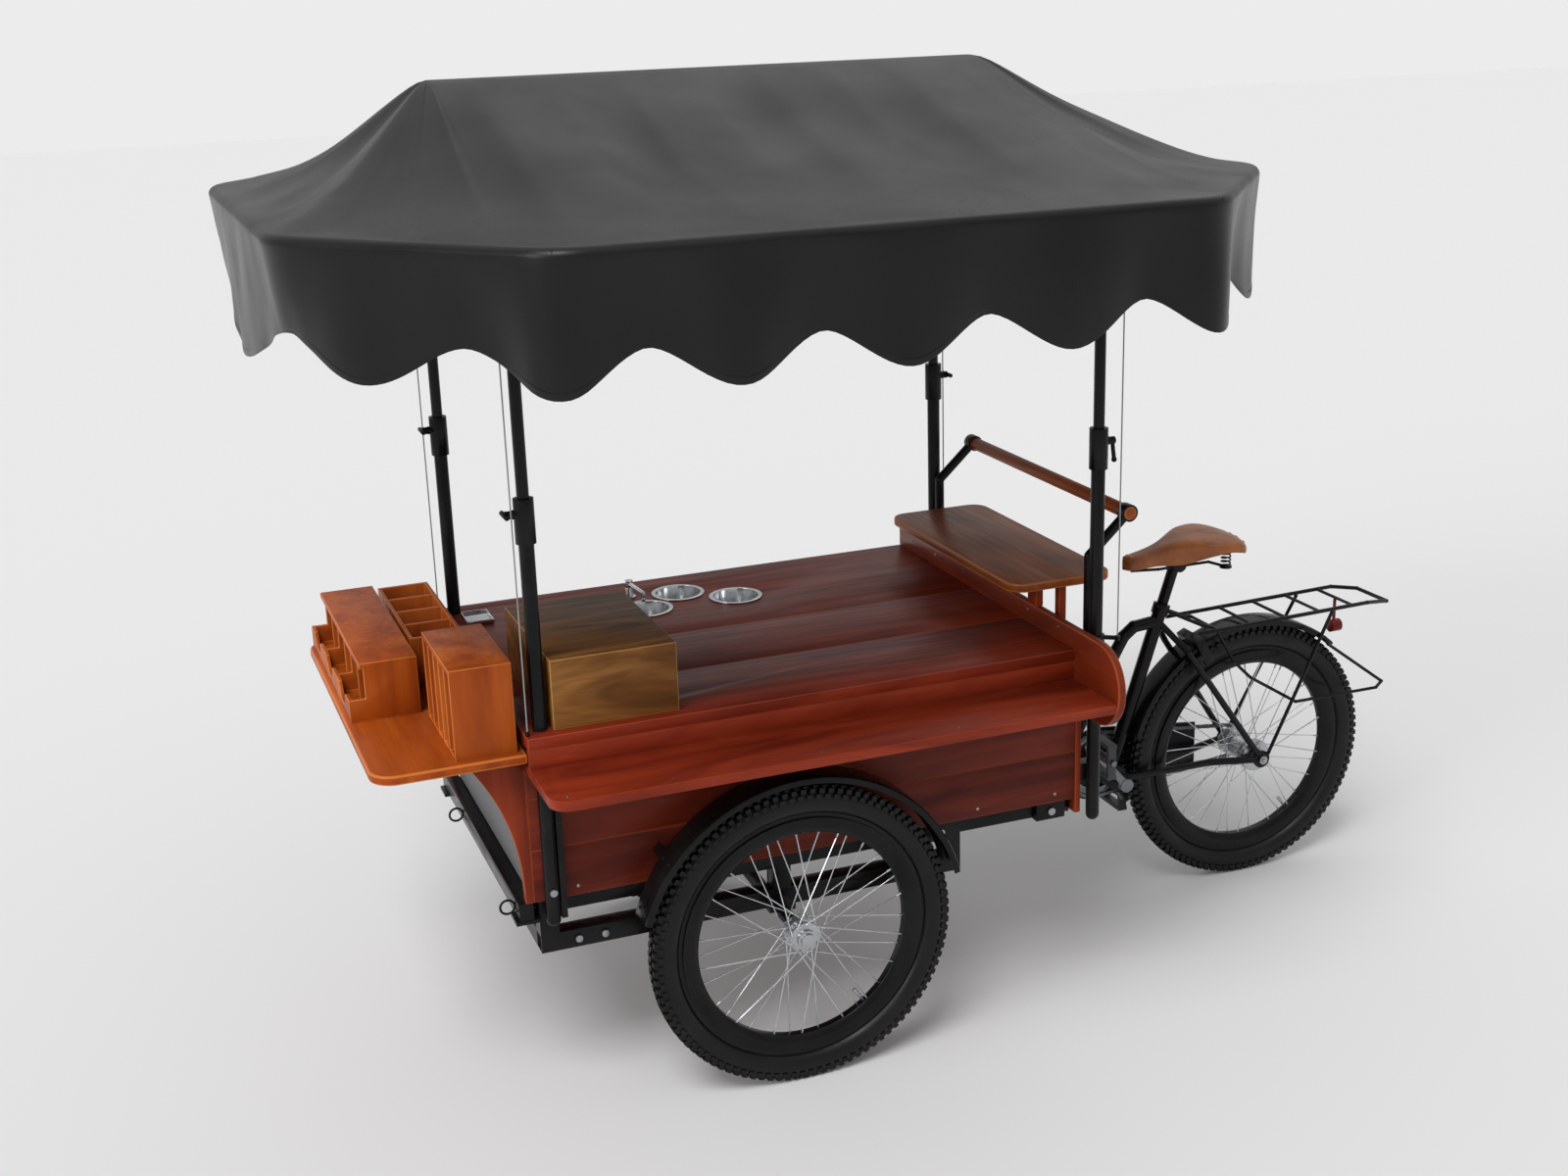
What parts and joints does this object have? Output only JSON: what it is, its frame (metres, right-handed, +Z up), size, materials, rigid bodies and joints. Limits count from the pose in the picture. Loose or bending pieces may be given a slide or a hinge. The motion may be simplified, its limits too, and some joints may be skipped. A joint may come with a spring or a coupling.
{
  "type": "coffee tricycle",
  "caption": "Front-loading cargo tricycle with a timber serving counter, organizers, telescopic scalloped canopy and pedal-driven steering rear end.",
  "frame": {"origin": "centre of the footprint, on the ground", "axes": "+X forwards, towards the cabinet's front; +Y to the rider's left, the side with the serving ledge; +Z up"},
  "size_m": [2.7155, 1.964, 2.074],
  "materials": {
    "black_steel": "semi-gloss black",
    "chrome": "polished",
    "steel": "brushed",
    "aluminium": "satin",
    "mahogany": "oiled red-brown",
    "orange_wood": "oiled orange-brown",
    "walnut": "oiled brown",
    "box_wood": "oiled olive-brown",
    "grey_panel": "matte grey",
    "tyre": "matte black",
    "canopy_fabric": "charcoal, slightly glossy",
    "cord": "grey braided",
    "black_plastic": "matte black",
    "lamp_red": "dark red",
    "leather": "tan"
  },
  "bodies": {
    "cart": {"chassis_frame": "black_steel", "front_axle": "black_steel", "cabinet_floor": "mahogany", "side_panel_left": "mahogany", "side_panel_right": "mahogany", "front_panel": "grey_panel", "rear_panel": "mahogany", "cabinet_trim": "mahogany", "counter_top": "mahogany", "ledge_boards": "mahogany", "end_board": "mahogany", "rear_shelf": "walnut", "front_shelf": "orange_wood", "tray_organizer": "orange_wood", "bin_organizer": "orange_wood", "divider_organizer": "orange_wood", "wooden_box": "box_wood", "counter_inserts": "chrome", "lower_posts": "black_steel", "post_collars": "black_plastic", "post_brackets": "black_steel", "push_bar_rod": "orange_wood", "push_bar_arms": "black_steel", "front_mudguards": "black_steel", "frame_bolts": "chrome"},
    "tap": {"tap_spout": "chrome"},
    "front_left_clamp": {"knob_front_left": "black_plastic"},
    "front_right_clamp": {"knob_front_right": "black_plastic"},
    "rear_left_clamp": {"lever_rear_left": "black_plastic"},
    "rear_right_clamp": {"knob_rear_right": "black_plastic"},
    "canopy": {"upper_posts": "black_steel", "canopy_frame": "black_steel", "canopy_cover": "canopy_fabric", "guy_cords": "cord"},
    "left_wheel": {"left_tyre": "tyre", "left_rim": "aluminium", "left_hub": "aluminium", "left_spokes": "steel"},
    "right_wheel": {"right_tyre": "tyre", "right_rim": "aluminium", "right_hub": "aluminium", "right_spokes": "steel"},
    "rear_end": {"rear_frame": "black_steel", "rear_axle": "steel", "rear_mudguard": "black_steel", "rear_rack": "black_steel", "ring_lock": "black_plastic", "tail_lamp": "lamp_red", "chain": "steel", "chain_guard": "black_plastic"},
    "rear_wheel": {"rear_tyre": "tyre", "rear_rim": "aluminium", "rear_hub": "aluminium", "rear_spokes": "steel"},
    "cranks": {"crankset": "aluminium"},
    "left_pedal": {"pedal_left": "black_plastic"},
    "right_pedal": {"pedal_right": "black_plastic"},
    "saddle": {"seat_post": "black_steel", "saddle_springs": "black_steel", "saddle_cover": "leather"}
  },
  "joints": [
    {"name": "steering", "type": "hinge", "parent": "cart", "child": "rear_end", "pos_m": [-0.3565, 0, 0.397], "axis": [0, 0, 1], "range_deg": [-35, 35]},
    {"name": "left_wheel_spin", "type": "hinge", "parent": "cart", "child": "left_wheel", "pos_m": [0.4135, 0.473, 0.334], "axis": [0, 1, 0], "continuous": true},
    {"name": "right_wheel_spin", "type": "hinge", "parent": "cart", "child": "right_wheel", "pos_m": [0.4135, -0.473, 0.334], "axis": [0, 1, 0], "continuous": true},
    {"name": "rear_wheel_spin", "type": "hinge", "parent": "rear_end", "child": "rear_wheel", "pos_m": [-0.9825, 0, 0.334], "axis": [0, 1, 0], "continuous": true},
    {"name": "crank_spin", "type": "hinge", "parent": "rear_end", "child": "cranks", "pos_m": [-0.5925, 0, 0.335], "axis": [0, 1, 0], "continuous": true},
    {"name": "left_pedal_spin", "type": "hinge", "parent": "cranks", "child": "left_pedal", "pos_m": [-0.49409, 0.13, 0.44821], "axis": [0, 1, 0], "continuous": true},
    {"name": "right_pedal_spin", "type": "hinge", "parent": "cranks", "child": "right_pedal", "pos_m": [-0.69091, -0.13, 0.22179], "axis": [0, 1, 0], "continuous": true},
    {"name": "saddle_height", "type": "slide", "parent": "rear_end", "child": "saddle", "axis": [-0.3156, 0, 0.9489], "range_m": [-0.06, 0.12]},
    {"name": "canopy_height", "type": "slide", "parent": "cart", "child": "canopy", "axis": [0, 0, 1], "range_m": [-0.35, 0.1], "deforming": ["guy_cords"]},
    {"name": "front_left_clamp_turn", "type": "hinge", "parent": "cart", "child": "front_left_clamp", "pos_m": [0.9225, 0.4073, 1.293], "axis": [1, 0, 0], "continuous": true},
    {"name": "front_right_clamp_turn", "type": "hinge", "parent": "cart", "child": "front_right_clamp", "pos_m": [0.9225, -0.4073, 1.293], "axis": [1, 0, 0], "continuous": true},
    {"name": "rear_left_clamp_turn", "type": "hinge", "parent": "cart", "child": "rear_left_clamp", "pos_m": [-0.3125, 0.4073, 1.293], "axis": [-1, 0, 0], "range_deg": [0, 90]},
    {"name": "rear_right_clamp_turn", "type": "hinge", "parent": "cart", "child": "rear_right_clamp", "pos_m": [-0.3125, -0.4073, 1.293], "axis": [-1, 0, 0], "continuous": true},
    {"name": "tap_swivel", "type": "hinge", "parent": "cart", "child": "tap", "pos_m": [0.5175, -0.335, 0.882], "axis": [0, 0, 1], "range_deg": [-100, 100]}
  ],
  "couplings": [
    {"joint": "crank_spin", "follows": "rear_wheel_spin", "ratio": 0.45}
  ]
}
